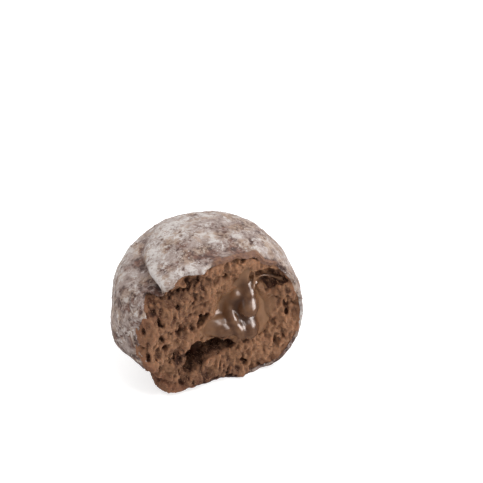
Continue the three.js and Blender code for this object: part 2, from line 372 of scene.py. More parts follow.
class CrumbSettings(bpy.types.PropertyGroup):
    """Torn inside of the dough."""

    depth: length("Depth", "Thickness of the torn crumb behind the face", 13 * MM)
    facet: length("Facet", "Size of the finest facets", 0.21 * MM)
    pores: count("Pores", "Number of air bubbles cut open", 420)
    smallest_pore: length("Smallest pore", "Radius of the smallest air bubble", 0.35 * MM)
    largest_pore: length("Largest pore", "Radius of the largest air bubble", 1.0 * MM)
    shreds: count("Shreds", "Number of torn shreds", 1400)
    grains: count("Grains", "Number of loose grains on the face", 6000)
    ridge: colour("Ridges", "Crumb that stands out", srgb(150, 109, 80))
    # Painted shade deep in the pores, which is also the dark end of the crumb's own tone and of its
    # grains' tone
    dark_and_pit_shade: colour("Pits", "Crumb deep in the pores", srgb(62, 33, 18))
    rind: colour("Rind", "Crumb just under the skin", srgb(108, 66, 46))
    soaked: colour("Soaked", "Crumb that the filling has soaked", srgb(126, 90, 62))


class FillingSettings(bpy.types.PropertyGroup):
    """Chocolate filling."""

    facet: length("Facet", "Size of the finest facets", 0.3 * MM)
    chocolate: colour("Chocolate", "Filling where it is thick", srgb(72, 45, 29))
    thin_chocolate: colour("Thin chocolate", "Filling where it is thin", srgb(132, 97, 71))


class SugarSettings(bpy.types.PropertyGroup):
    """Sugar dusting on the skin."""

    clumps: count("Clumps", "Number of small clumps of sugar", 5200)
    smallest_clump: length("Smallest clump", "Radius of the smallest clump", 0.1 * MM)
    largest_clump: length("Largest clump", "Radius of the largest clump", 0.34 * MM)
    sugar: colour("Sugar", "Thick dry sugar", srgb(184, 177, 173))
    oily_sugar: colour("Oily sugar", "Thin sugar that oil has soaked", srgb(146, 124, 108))
    thin_sugar: colour("Thin sugar", "Sugar that the skin shows through", srgb(140, 124, 117))


class StageSettings(bpy.types.PropertyGroup):
    """Floor and camera."""

    pitch: angle("Camera pitch", "How far the camera looks down", math.radians(40))
    eye: FloatVectorProperty(
        name="Camera place",
        description="Where the camera stands",
        default=(9.5 * MM, -334.4 * MM, 324.0 * MM),
        subtype="TRANSLATION",
        size=3,
    )
    lens: FloatProperty(name="Lens", description="Focal length in mm on a 36 mm sensor", default=120)
    floor: colour("Floor", "Pale floor", (0.54, 0.54, 0.54))


def unit(vectors):
    """Each row of an array as a vector of length 1."""
    return vectors / np.linalg.norm(vectors, axis=1)[:, None]


def bell(distance, width):
    """1 at no distance, falling to near 0 at about twice the width."""
    return np.exp(-((distance / width) ** 2))


def smooth_step(values):
    """0 under 0, 1 over 1, and a smooth rise between."""
    share = np.clip(values, 0, 1)
    return share * share * (3 - 2 * share)


def noise_field(points, size, octaves=1, seed=0.0):
    """Smooth noise, about -1 to 1, at each point, with waves about size across."""
    shift = np.array((seed, 1.7 * seed, -2.3 * seed))
    places = (points / size + shift).tolist()
    return np.array([noise.fractal(place, 1.0, 2.0, octaves) for place in places])


def roll(number, kind):
    """The same number between 0 and 1 each time for crag `number` and its property `kind`."""
    wave = math.sin(number * DIGIT_WAVES[0] + kind * DIGIT_WAVES[1]) * DIGIT_HEIGHT
    return wave - math.floor(wave)


def path_height(directions, fold, radius, growth_start):
    """Height of one fold towards each direction, from the nearest point of its path."""
    path, width, height = fold
    stops = [np.array(Vector(stop).normalized()) for stop in path]
    nearest = np.full(len(directions), np.inf)
    along = np.zeros(len(directions))
    for number, (start, end) in enumerate(zip(stops, stops[1:])):
        step = end - start
        share = np.clip((directions - start) @ step / (step @ step), 0, 1)
        distance = np.linalg.norm(directions - start - share[:, None] * step, axis=1) * radius
        closer = distance < nearest
        nearest[closer] = distance[closer]
        along[closer] = (number + share[closer]) / (len(stops) - 1)
    grown = smooth_step((along - growth_start) / (1 - growth_start))
    return height * grown * bell(nearest, width)


def patch_sum(directions, patches):
    """The sum of round patches of the skin towards each direction."""
    total = np.zeros(len(directions))
    for toward, reach, amount in patches:
        away = np.arccos(np.clip(directions @ np.array(Vector(toward).normalized()), -1, 1))
        total += amount * bell(away, reach)
    return total


def ball_radius(directions, dough):
    """Distance from the ball's middle to its skin towards each direction."""
    half_sizes = np.array((dough.width, dough.depth, dough.height)) / 2
    plain = (np.abs(directions / half_sizes) ** dough.squareness).sum(axis=1) ** (-1 / dough.squareness)
    radius = plain + patch_sum(directions, SWELLS.values())
    for fold in FOLDS.values():
        radius += path_height(directions, fold, plain, FOLD_GROWTH_START)
    for wrinkle in WRINKLES.values():
        radius += path_height(directions, wrinkle, plain, WRINKLE_GROWTH_START)
    for number, (size, height) in enumerate(SKIN_WAVES):
        radius += height * noise_field(directions * plain[:, None], size, 2, seed=3.1 * number)
    return radius


def ball_middle(dough):
    return np.array((0, 0, dough.middle_height))


def tear_matrix(dough):
    """From the torn face's frame (across, up, out) to the doughnut's."""
    cos, sin = math.cos(dough.tear_turn), math.sin(dough.tear_turn)
    turn = Matrix(((cos, 0, sin), (sin, 0, -cos), (0, 1, 0))).to_4x4()
    return turn @ Matrix.Translation((0, 0, dough.tear_from_axis))


def moved(points, matrix):
    """An array's points after a matrix has moved them."""
    array = np.array(matrix)
    return points @ array[:3, :3].T + array[:3, 3]


def on_face(points, dough):
    """Each point's place across, up and out on the torn face."""
    return moved(points, tear_matrix(dough).inverted())


def skin_depth(points, dough):
    """How deep each point lies under the ball's skin."""
    from_middle = points - ball_middle(dough)
    return ball_radius(unit(from_middle), dough) - np.linalg.norm(from_middle, axis=1)


def crags(dough):
    """Bumps and pits of the torn face, laid out as the seeds of a sunflower are, in millimetres."""
    rows = []
    for number in range(CRAGS):
        reach = CRAG_FIELD * math.sqrt((number + 0.5) / CRAGS)
        turn = number * GOLDEN_ANGLE
        across = reach * math.cos(turn)
        up = reach * math.sin(turn) + dough.middle_height / MM
        width = 1.5 + 1.5 * roll(number, 2)
        size = roll(number, 3)
        height = -(0.4 + 0.9 * size) if roll(number, 1) < 0.55 else 0.35 + 0.7 * size
        rows.append((across, up, width, height))
    return rows


def oval_distance(across, up, middle, half_sizes):
    """How far points of the torn face lie from an oval's middle, squared: 1 on its edge."""
    x = (across / MM - middle[0]) / half_sizes[0]
    y = (up / MM - middle[1]) / half_sizes[1]
    return x * x + y * y


def wide_relief(across, up, forms=FACE_FORMS.values()):
    """How far wide forms of the torn face stand out, in metres."""
    out = np.zeros(len(across))
    for middle, half_sizes, height in forms:
        out += height * MM * np.exp(-oval_distance(across, up, middle, half_sizes))
    return out


def foam(points, size, seed=0.0):
    """Torn air cells about size across: 0 on their thin walls, and down to -1 in the deepest."""
    bend = [noise_field(points, 1.3 * size, 2, seed + axis) for axis in (1, 2, 3)]
    places = points / size + 0.35 * np.column_stack(bend) + seed
    walls, cells = [], []
    for place in places.tolist():
        distances, middles = noise.voronoi(place)
        walls.append(distances[1] - distances[0])
        cells.append(middles[0])
    rolls = np.abs(np.sin(np.array(cells) @ DIGIT_WAVES)) * DIGIT_HEIGHT % 1
    return -(0.15 + 0.85 * rolls) * smooth_step(np.array(walls) / 0.55)


def smear_share(across, up):
    """1 where the filling has soaked and smoothed the crumb, and 0 away from it."""
    shares = [np.exp(-(oval_distance(across, up, *smear) ** 1.5)) for smear in SMEARS.values()]
    return np.maximum.reduce(shares)


def tear_relief(across, up, dough, roughness=1.0):
    """How far the torn face stands out of its plane at each point, in metres."""
    out = np.zeros(len(across))
    for middle_across, middle_up, width, height in crags(dough):
        out += height * MM * bell(np.hypot(across / MM - middle_across, up / MM - middle_up), width)
    flat = np.column_stack((across, up * 0.75, np.zeros(len(across))))
    out += 0.55 * MM * noise_field(flat, 3.0 * MM, 3, seed=5)
    out += 0.3 * MM * noise_field(flat, 1.1 * MM, 3, seed=9)
    unsoaked = 1 - 0.8 * smear_share(across, up)
    return wide_relief(across, up) + roughness * unsoaked * out


def skin_edge_relief(across, up, dough):
    """How far the skin's torn edge stands out of the torn face's plane, in metres."""
    forms = wide_relief(across, up, SKIN_FORMS.values())
    return tear_relief(across, up, dough, roughness=0.7) + forms + SKIN_BEFORE_CRUMB


def bare_rim(points, dough):
    """1 on the smooth rim without sugar above the tear, and 0 away from it."""
    across, up, out = on_face(points, dough).T
    behind = np.maximum(skin_edge_relief(across, up, dough) - out, 0)
    from_ends = np.minimum(across / MM - RIM_LEFT, RIM_RIGHT - across / MM)
    reach = np.clip(from_ends / RIM_FADE, 0, 1)
    return reach * (up > RIM_FOOT * MM) * bell(behind, RIM_DEPTH * MM)


def crumb_relief(across, up, dough):
    """How far the crumb stands out of the torn face's plane at each point, in metres."""
    return tear_relief(across, up, dough) + wide_relief(across, up, CRUMB_FORMS.values())


def film_relief(across, up, dough):
    """How far the filling's film stands out of the torn face's plane at each point, in metres."""
    ground = wide_relief(across, up) + 0.6 * wide_relief(across, up, CRUMB_FORMS.values())
    return ground + wide_relief(across, up, FILM.values()) - FILM_SUNK


def link(name, mesh):
    """A new object with a mesh, in the scene."""
    piece = bpy.data.objects.new(name, mesh)
    bpy.context.scene.collection.objects.link(piece)
    return piece


def from_bmesh(name, bm):
    """A new object with a bmesh's shape, after which the bmesh is gone."""
    mesh = bpy.data.meshes.new(name)
    bm.to_mesh(mesh)
    bm.free()
    return link(name, mesh)


@contextmanager
def editing(mesh):
    """A mesh as a bmesh that is written back to it."""
    bm = bmesh.new()
    bm.from_mesh(mesh)
    yield bm
    bm.to_mesh(mesh)
    bm.free()


def sphere(detail):
    """A sphere of radius 1, as a bmesh."""
    bm = bmesh.new()
    bmesh.ops.create_icosphere(bm, subdivisions=detail, radius=1)
    return bm


def spheres(name, detail, matrices):
    """One piece made of a sphere for each matrix."""
    template = sphere(detail)
    template.verts.index_update()
    points = np.array([(*vertex.co, 1) for vertex in template.verts])
    corners = np.array([[vertex.index for vertex in face.verts] for face in template.faces])
    template.free()
    turns = np.array(matrices)
    all_points = np.einsum("cij,pj->cpi", turns, points)[:, :, :3].reshape(-1, 3)
    steps = np.arange(len(turns))[:, None, None] * len(points)
    all_corners = (corners[None] + steps).reshape(-1, corners.shape[1])
    mesh = bpy.data.meshes.new(name)
    mesh.from_pydata(all_points.tolist(), [], all_corners.tolist())
    return link(name, mesh)


def remove(piece):
    mesh = piece.data
    bpy.data.objects.remove(piece)
    bpy.data.meshes.remove(mesh)


def modify(piece, kind, **values):
    """Makes what one modifier gives the piece's own mesh."""
    modifier = piece.modifiers.new(kind.lower(), kind)
    for name, value in values.items():
        setattr(modifier, name, value)
    bpy.context.view_layer.update()
    evaluated = piece.evaluated_get(bpy.context.evaluated_depsgraph_get())
    mesh = bpy.data.meshes.new_from_object(evaluated)
    old = piece.data
    piece.modifiers.clear()
    piece.data = mesh
    mesh.name = piece.name
    bpy.data.meshes.remove(old)
    return piece


def combine(piece, tool, operation="DIFFERENCE"):
    """Cuts the tool away from the piece, or joins or intersects the two, and removes the tool."""
    faces = len(piece.data.polygons)
    modify(piece, "BOOLEAN", object=tool, operation=operation, solver="MANIFOLD")
    if len(piece.data.polygons) == faces:
        raise RuntimeError(f"{tool.name} didn't change {piece.name}")
    remove(tool)
    return piece


def remesh(piece, facet):
    return modify(piece, "REMESH", mode="VOXEL", voxel_size=facet)


def even_out(bm, rounds):
    """Draws each vertex towards its neighbours, a few times over."""
    for _ in range(rounds):
        bmesh.ops.smooth_vert(
            bm, verts=bm.verts[:], factor=0.5, use_axis_x=True, use_axis_y=True, use_axis_z=True
        )


def smooth(piece, rounds):
    with editing(piece.data) as bm:
        even_out(bm, rounds)


def thin_out(piece, triangles):
    """Leaves about that many triangles."""
    now = sum(len(face.vertices) - 2 for face in piece.data.polygons)
    if now > triangles:
        modify(piece, "DECIMATE", ratio=triangles / now)


def move_vertices(vertices, place):
    """Moves a bmesh's vertices to where place(points) puts them."""
    points = np.array([vertex.co for vertex in vertices])
    for vertex, point in zip(vertices, place(points)):
        vertex.co = point


def points_of(mesh, kind="co"):
    """Each vertex's place, or its "normal", as an array."""
    points = np.empty(len(mesh.vertices) * 3)
    mesh.vertices.foreach_get(kind, points)
    return points.reshape(-1, 3)


def push_out(mesh, distance):
    """Moves each vertex along its normal by its own distance."""
    points = points_of(mesh) + points_of(mesh, "normal") * distance[:, None]
    mesh.vertices.foreach_set("co", points.ravel())
    mesh.update()


def store(mesh, name, values):
    """Keeps one number for each vertex, for the materials to read."""
    attribute = mesh.attributes.new(name, "FLOAT", "POINT")
    attribute.data.foreach_set("value", values.astype(np.float32))


def halve(bm, point, normal):
    """Cuts away what lies beyond a plane, and closes the cut."""
    everything = bm.verts[:] + bm.edges[:] + bm.faces[:]
    bmesh.ops.bisect_plane(bm, geom=everything, plane_co=point, plane_no=normal, clear_outer=True)
    open_edges = [edge for edge in bm.edges if edge.is_boundary]
    bmesh.ops.holes_fill(bm, edges=open_edges, sides=0)


def smooth_shade(piece, sharp_angle=math.pi):
    """Shades a piece smoothly, except over edges sharper than an angle."""
    with editing(piece.data) as bm:
        for face in bm.faces:
            face.smooth = True
        for edge in bm.edges:
            edge.smooth = edge.calc_face_angle(0) < sharp_angle


def finish_piece(piece, node, slot, *materials):
    """Gives a piece its materials, hangs it under the root, and hides the imported part that it stands
    for.
    """
    piece.data.materials.clear()
    for material in materials:
        piece.data.materials.append(material)
    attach(piece, "root")
    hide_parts(node)


def add_lump(bm, lump, dough, grow=0.0, roughness=0.08):
    """Adds an uneven ellipsoid that is given on the torn face."""
    middle, half_sizes, tilt = lump
    sizes = np.array(half_sizes) * MM + grow
    spot = Matrix.Translation(Vector(middle) * MM)
    matrix = tear_matrix(dough) @ spot @ Matrix.Rotation(math.radians(tilt), 4, "Z")

    def place(points):
        uneven = 1 + roughness * noise_field(points + np.array(middle), 0.7, 3)
        return (matrix @ Vector(point) for point in points * sizes * uneven[:, None])

    move_vertices(bmesh.ops.create_icosphere(bm, subdivisions=5, radius=1)["verts"], place)


def whole_ball(dough, inset, detail):
    """The ball before it was torn, moved inwards by inset, on its flat spot."""

    def swell(points):
        directions = unit(points)
        thin = inset * (1 + 0.3 * noise_field(directions, 0.3, 2, seed=2))
        return directions * (ball_radius(directions, dough) - thin)[:, None] + ball_middle(dough)

    bm = sphere(detail)
    move_vertices(bm.verts, swell)
    halve(bm, (0, 0, inset), (0, 0, -1))
    return from_bmesh("ball", bm)


def flap(dough, inset):
    """The flap at the tear, moved inwards by inset."""
    bm = bmesh.new()
    add_lump(bm, FLAP, dough, grow=-inset)
    halve(bm, (0, 0, inset), (0, 0, -1))
    return from_bmesh("flap", bm)


def front_of(piece, dough, depth):
    """Keeps what lies in front of a plane behind the torn face."""
    matrix = tear_matrix(dough)
    with editing(piece.data) as bm:
        halve(bm, matrix @ Vector((0, 0, -depth)), matrix.to_3x3() @ Vector((0, 0, -1)))


def relief_block(dough, relief, cell, depth=BLOCK_DEPTH):
    """A block whose one side has a relief over the torn face, and which ends a depth beyond its plane."""
    height = BLOCK_TOP - BLOCK_FOOT
    middle = Matrix.Translation((0, (BLOCK_TOP + BLOCK_FOOT) / 2, 0))
    bm = bmesh.new()
    bmesh.ops.create_grid(
        bm,
        x_segments=round(BLOCK_WIDTH / cell),
        y_segments=round(height / cell),
        size=0.5,
        matrix=middle @ Matrix.Diagonal((BLOCK_WIDTH, height, 1, 1)),
    )
    back = bmesh.ops.extrude_face_region(bm, geom=bm.faces[:])["geom"]
    back_verts = [part for part in back if isinstance(part, bmesh.types.BMVert)]
    bmesh.ops.translate(bm, verts=back_verts, vec=(0, 0, depth))
    bmesh.ops.recalc_face_normals(bm, faces=bm.faces[:])

    def place(points):
        shaped = np.abs(points[:, 2]) < abs(depth) / 2
        points[shaped, 2] = relief(points[shaped, 0], points[shaped, 1], dough)
        return moved(points, tear_matrix(dough))

    move_vertices(bm.verts, place)
    return mark_cut(from_bmesh("block", bm))


def face_hollows(dough):
    """The hollows of the torn face, joined in one solid."""
    bm = bmesh.new()
    for hollow in HOLLOWS.values():
        add_lump(bm, hollow, dough, roughness=0.3)
    return remesh(from_bmesh("hollows", bm), facet=0.3 * MM)


def mark_cut(tool):
    """Gives a tool's faces the second material, so that what it cuts has that."""
    tool.data.materials.append(None)
    tool.data.materials.append(None)
    tool.data.polygons.foreach_set("material_index", [1] * len(tool.data.polygons))
    return tool


def sugar_cover(directions, dough):
    """How thick the sugar lies towards each direction, about 0 to 1."""
    cover = 0.5 + 0.2 * noise_field(directions, 0.42, 2, seed=11)
    cover += 0.22 * noise_field(directions, 0.13, 3, seed=4)
    cover += patch_sum(directions, SUGAR_PATCHES) - patch_sum(directions, BARE_PATCHES)
    cover -= 0.9 * np.clip(-directions[:, 2] - 0.4, 0, 1)
    # Grooves get less sugar and come out darker, partly as painted shade in the creases; ridges get more
    # sugar and come out lighter
    for path, width, height in [*FOLDS.values(), *WRINKLES.values()]:
        share = 0.35 if height < 0 else 0.2
        fold = (path, 0.8 * width, math.copysign(1, height))
        cover += share * path_height(directions, fold, dough.width / 2, FOLD_GROWTH_START)
    return np.clip(cover, 0, 1)


class NodeBuilder:
    """Adds nodes to a new material, or to a new world, in a few words."""

    def __init__(self, name, kind="materials", shader="BsdfPrincipled", output="OutputMaterial"):
        self.owner = getattr(bpy.data, kind).new(name)
        self.owner.use_nodes = True
        self.nodes = self.owner.node_tree.nodes
        self.links = self.owner.node_tree.links
        self.nodes.clear()
        self.shader = self.add(shader)
        self.links.new(self.shader.outputs[0], self.add(output).inputs["Surface"])
        self.places = self.add("TexCoord").outputs

    def connect(self, value, socket):
        """Puts a value or another node's output into a socket."""
        if isinstance(value, bpy.types.NodeSocket):
            self.links.new(value, socket)
        elif socket.type == "RGBA":
            socket.default_value = (*value, 1)
        else:
            socket.default_value = value

    def feed(self, node, **inputs):
        """Fills a node's inputs, named with _ for a space."""
        for name, value in inputs.items():
            self.connect(value, node.inputs[name.replace("_", " ")])
        return node

    def add(self, kind, **inputs):
        return self.feed(self.nodes.new(f"ShaderNode{kind}"), **inputs)

    def attribute(self, name):
        node = self.add("Attribute")
        node.attribute_name = name
        return node.outputs["Fac"]

    def noise(self, size, detail=2.0, roughness=0.5, distortion=0.0, stretch=(1, 1, 1)):
        """Noise from 0 to 1 with waves about size millimetres across."""
        place = self.add("Mapping", Vector=self.places["Object"], Scale=stretch).outputs["Vector"]
        node = self.add("TexNoise", Vector=place, Scale=1 / (size * MM), Detail=detail)
        return self.feed(node, Roughness=roughness, Distortion=distortion).outputs["Fac"]

    def math(self, operation, *values):
        node = self.add("Math")
        node.operation = operation
        for value, socket in zip(values, node.inputs):
            self.connect(value, socket)
        return node.outputs[0]

    def weighted(self, *pairs, base=0.0):
        """The sum of values, each times its weight."""
        total = base
        for value, weight in pairs:
            total = self.math("MULTIPLY_ADD", value, weight, total)
        return total

    def ramp(self, value, start, end, low=0.0, high=1.0):
        """A smooth step from low to high between start and end."""
        node = self.add("MapRange", Value=value, From_Min=start, From_Max=end, To_Min=low, To_Max=high)
        node.interpolation_type = "SMOOTHSTEP"
        return node.outputs["Result"]

    def mix(self, share, a, b, kind="RGBA"):
        """Colour a where share is 0, and colour b where it is 1."""
        node = self.add("Mix")
        node.data_type = kind
        return self.feed(node, Factor=share, A=a, B=b).outputs["Result"]

    def blend(self, share, a, b):
        """Number a where share is 0, and number b where it is 1."""
        return self.mix(share, a, b, "FLOAT")

    def bump(self, height, distance, strength=1.0):
        node = self.add("Bump", Height=height, Distance=distance, Strength=strength)
        self.links.new(node.outputs["Normal"], self.shader.inputs["Normal"])

    def set(self, **inputs):
        """Fills the shader's inputs, and gives the finished material or world."""
        self.feed(self.shader, **inputs)
        return self.owner


def sugared_skin(dough, sugar):
    """Fried brown skin under an uneven dusting of sugar."""
    b = NodeBuilder("sugared skin")
    patches = b.noise(2.6, 3, 0.6, 0.4)
    mottles = b.noise(0.95, 3, 0.65)
    grains = b.noise(0.32, 2, 0.6)
    upright = b.noise(0.9, 2, 0.6, 0.7, stretch=(1, 1, 0.36))
    level = b.noise(0.9, 2, 0.6, 0.7, stretch=(0.36, 0.8, 1))
    slanted = b.noise(0.9, 2, 0.6, 0.7, stretch=(0.8, 0.36, 1))
    turn = b.noise(7, 2, 0.5)
    streaks = b.blend(b.ramp(turn, 0.44, 0.5), b.blend(b.ramp(turn, 0.5, 0.58), level, slanted), upright)
    calm = b.ramp(b.noise(5.5, 2, 0.5), 0.42, 0.62)
    cover = b.weighted(
        (b.attribute("sugar"), 0.85),
        (patches, 1.1),
        (b.blend(b.math("MULTIPLY", calm, 0.5), mottles, 0.5), 0.8),
        (grains, 0.16),
        (b.blend(b.math("MULTIPLY", calm, 0.8), streaks, 0.5), 1.6),
        base=-1.73,
    )
    skin = b.mix(b.ramp(b.noise(1.9, 3, 0.6), 0.38, 0.66), dough.dark_skin, dough.skin)
    warmth = b.ramp(b.noise(4.2, 2, 0.5), 0.42, 0.64)
    thin = b.mix(warmth, sugar.thin_sugar, sugar.oily_sugar)
    thin = b.mix(b.ramp(cover, 0.1, 0.5), skin, thin)
    both = b.mix(b.ramp(cover, 0.4, 0.95), thin, sugar.sugar)
    specks = b.ramp(b.noise(0.55, 1, 0.4), 0.66, 0.76)
    both = b.mix(b.math("MULTIPLY", specks, 0.32), both, dough.dark_skin)
    rim = b.ramp(b.weighted((b.attribute("rim"), 1.0), (mottles, 0.6)), 0.6, 0.95)
    uneven_edge = b.mix(b.ramp(mottles, 0.36, 0.6), dough.skin, dough.torn_edge)
    both = b.mix(b.math("MULTIPLY", rim, 0.85), both, uneven_edge)
    pitted = b.math("MULTIPLY", rim, mottles)
    height = b.weighted((b.ramp(cover, 0.15, 0.85), 0.7), (grains, 0.4), (streaks, 0.35), (pitted, 2.0))
    b.bump(height, 0.25 * MM, 0.8)
    return b.set(Base_Color=both, Roughness=b.ramp(cover, 0.2, 0.6, 0.6, 0.9))


def torn_skin_edge(dough):
    """Edge of the skin along the tear."""
    b = NodeBuilder("torn skin edge")
    uneven = b.noise(0.7, 3, 0.6)
    tone = b.mix(b.ramp(uneven, 0.25, 0.55), dough.skin, dough.torn_edge)
    b.bump(uneven, 0.2 * MM)
    return b.set(Base_Color=tone, Roughness=0.7)


def torn_crumb(crumb):
    """Airy crumb, darker in its pits and hollows as painted shade, soaked and glossy beside the filling.
    """
    b = NodeBuilder("torn crumb")
    smear = b.attribute("smear")
    blotches = b.noise(4.5, 3, 0.6)
    mottles = b.noise(1.1, 3, 0.65)
    fine = b.noise(0.35, 3, 0.65)
    # The crumb's lightness: its pits and hollows pull it down as painted shade, the tone stretches add
    # painted shade and painted light where marked, and the noises give its own mottling
    light = b.weighted(
        (b.attribute("dark_and_pit_shade"), -0.28),
        (b.attribute("hollow"), -0.4),
        (b.attribute("tone"), 1.0),
        (blotches, 0.6),
        (mottles, 0.8),
        (fine, 0.5),
        base=-0.3,
    )
    tone = b.mix(b.ramp(light, 0.0, 1.05), crumb.dark_and_pit_shade, crumb.ridge)
    ruddy = b.ramp(b.noise(3.2, 2, 0.5), 0.5, 0.68, 0, 0.35)
    tone = b.mix(ruddy, tone, crumb.rind)
    tone = b.mix(b.ramp(blotches, 0.5, 0.62, 0, 0.4), tone, crumb.soaked)
    tone = b.mix(b.math("MULTIPLY", b.attribute("rind"), 0.55), tone, crumb.rind)
    soaked = b.ramp(b.weighted((smear, 1.0), (mottles, 0.6), (blotches, 0.4)), 0.75, 1.25)
    tone = b.mix(b.math("MULTIPLY", soaked, 0.8), tone, crumb.soaked)
    b.bump(b.weighted((fine, 0.6), (mottles, 0.4)), 0.3 * MM, 0.8)
    return b.set(
        Base_Color=tone,
        Roughness=b.ramp(soaked, 0, 1, 0.75, 0.42),
        IOR=1.38,
        Subsurface_Weight=0.4,
        Subsurface_Radius=(0.9 * MM, 0.6 * MM, 0.4 * MM),
        Subsurface_Scale=1.0,
    )


def crumb_grain(crumb):
    """Small grains of crumb, each of its own shade."""
    b = NodeBuilder("crumb grain")
    shade = b.weighted((b.attribute("tone"), 0.55), (b.noise(0.5, 2, 0.6), 0.4), base=0.1)
    tone = b.mix(shade, crumb.dark_and_pit_shade, crumb.ridge)
    return b.set(Base_Color=tone, Roughness=0.8)


def wet_chocolate(filling):
    """Smooth glossy chocolate, darker in its recesses as painted shade."""
    b = NodeBuilder("wet chocolate")
    blotches = b.noise(2.8, 3, 0.5)
    # Recesses of the filling are pulled towards the thick chocolate's dark colour, as painted shade
    share = b.weighted(
        (b.attribute("thin"), 1.0), (b.ramp(blotches, 0.35, 0.7), 0.35), (b.attribute("hollow"), -0.3)
    )
    tone = b.mix(share, filling.chocolate, filling.thin_chocolate)
    b.bump(b.noise(1.8, 1, 0.4), 0.1 * MM, 0.25)
    return b.set(
        Base_Color=tone,
        Roughness=0.24,
        IOR=1.4,
        Subsurface_Weight=0.06,
        Subsurface_Radius=(1.5 * MM, 0.8 * MM, 0.4 * MM),
        Subsurface_Scale=1.0,
    )


def dry_sugar(sugar):
    """Small clumps of dry sugar."""
    b = NodeBuilder("dry sugar")
    tone = b.mix(b.ramp(b.noise(0.9, 2, 0.6), 0.35, 0.7), sugar.thin_sugar, sugar.sugar)
    return b.set(Base_Color=tone, Roughness=0.9)


class DOUGHNUT_OT_make_crust(bpy.types.Operator):
    """Make the sugar-dusted skin with its torn edge"""

    bl_idname = "doughnut.make_crust"
    bl_label = "Crust"

    def execute(self, context):
        dough = context.scene.doughnut_dough
        crust = whole_ball(dough, inset=0.0, detail=8)
        combine(crust, relief_block(dough, skin_edge_relief, cell=0.4 * MM))
        cavity = whole_ball(dough, inset=dough.skin_thickness, detail=6)
        front_of(cavity, dough, context.scene.doughnut_crumb.depth)
        combine(crust, mark_cut(cavity))
        combine(crust, mark_cut(face_hollows(dough)))
        thin_out(crust, triangles=190_000)
        crust.name = "crust"
        smooth_shade(crust, sharp_angle=math.radians(50))
        points = points_of(crust.data)
        cover = sugar_cover(unit(points - ball_middle(dough)), dough)
        rim = bare_rim(points, dough)
        store(crust.data, "sugar", np.clip(cover - 0.6 * rim, 0, 1))
        store(crust.data, "rim", rim)
        skin = sugared_skin(dough, context.scene.doughnut_sugar)
        finish_piece(crust, "dough", "dough", skin, torn_skin_edge(dough))
        return {"FINISHED"}


def uneven_bit(base, turn, lean, dice, *spans):
    """Where a small bit stands: turned about its upright, leant over, and stretched at random."""
    stretch = Matrix.Diagonal((*(dice.uniform(*span) for span in spans), 1))
    return base @ Matrix.Rotation(turn, 4, "Z") @ Matrix.Rotation(lean, 4, "X") @ stretch


def scattered(tries, dough, dice, margin):
    """Random places on the torn face, as (across, up, out), that keep a margin from the skin."""
    reach = dough.width / 2
    places = [(dice.uniform(-reach, reach), dice.uniform(margin, dough.height)) for _ in range(tries)]
    across, up = np.array(places).T
    places = np.column_stack((across, up, crumb_relief(across, up, dough)))
    points = moved(places, tear_matrix(dough))
    kept = (skin_depth(points, dough) > margin) & (points[:, 2] > margin)
    kept &= np.array([dice.random() > 1.4 * share for share in smear_share(across, up)])
    return places[kept]


def pore_bubbles(dough, crumb):
    """Air bubbles cut open by the tear, joined in one solid."""
    dice = random.Random(7)
    face = tear_matrix(dough)
    matrices = []
    for (across, up), half_sizes, depth in PORES:
        out = crumb_relief(np.array([across * MM]), np.array([up * MM]), dough)[0] - depth * MM
        middle = Matrix.Translation((across * MM, up * MM, out))
        size = Matrix.Diagonal((*half_sizes, PORE_HALF_DEPTH, 1))
        matrices.append(face @ middle @ size @ Matrix.Scale(MM, 4))
    for across, up, out in scattered(crumb.pores, dough, dice, margin=1.3 * MM):
        radius = crumb.smallest_pore * (crumb.largest_pore / crumb.smallest_pore) ** (dice.random() ** 2)
        sunk = radius * dice.uniform(-0.5, 0.6) + (dice.random() ** 3) * 0.5 * MM
        base = face @ Matrix.Translation((across, up, out - sunk))
        turn, lean = dice.gauss(0, 0.6), dice.uniform(-0.6, 0.6)
        bubble = uneven_bit(base, turn, lean, dice, (0.7, 1.1), (1.0, 1.8), (0.8, 1.4))
        matrices.append(bubble @ Matrix.Scale(radius, 4))
    return remesh(spheres("pores", 2, matrices), facet=0.2 * MM)


def torn_shreds(dough, crumb):
    """Small torn shreds that stand out of the face."""
    dice = random.Random(12)
    face = tear_matrix(dough)
    matrices = []
    for place in scattered(crumb.shreds, dough, dice, margin=2.2 * MM):
        radius = dice.uniform(0.22, 0.44) * MM
        turn, lean = dice.gauss(0.15, 0.4), dice.uniform(-0.5, 0.5)
        base = face @ Matrix.Translation(place)
        shred = uneven_bit(base, turn, lean, dice, (0.7, 1.0), (2.5, 5), (0.9, 1.8))
        matrices.append(shred @ Matrix.Scale(radius, 4))
    return spheres("shreds", 2, matrices)


def join(piece, other):
    """Adds the other piece's mesh to the piece, and removes the other."""
    with editing(piece.data) as bm:
        bm.from_mesh(other.data)
    remove(other)
    return piece


def shown_share(points, dough):
    """1 where the crumb isn't covered by the skin, and 0 where it is."""
    across, up, out = on_face(points, dough).T
    depth = skin_depth(points, dough) / MM
    under_skin = depth - 0.55
    outside_skin = 1.3 - 3 * depth
    before_edge = (out - skin_edge_relief(across, up, dough)) / MM + 1.3
    return np.clip(np.maximum.reduce([under_skin, outside_skin, before_edge]), 0, 1)


def roughen_crumb(piece, dough, crumb):
    """Breaks the shown surface of the crumb up into torn air cells."""
    points = points_of(piece.data)
    face = on_face(points, dough)
    across, up, out = face.T
    shown = shown_share(points, dough) * np.clip((out + crumb.depth) / MM - 0.5, 0, 1)
    shown *= 1 - 0.72 * smear_share(across, up)
    drawn_out = face * (1.1, 0.45, 1)
    height = 1.0 * MM * foam(drawn_out, 2.4 * MM, seed=2)
    height += 0.35 * MM * foam(drawn_out, 1.2 * MM, seed=5)
    height += 0.2 * MM * noise_field(drawn_out, 0.7 * MM, 3, seed=6)
    push_out(piece.data, (height + 0.4 * MM) * shown)


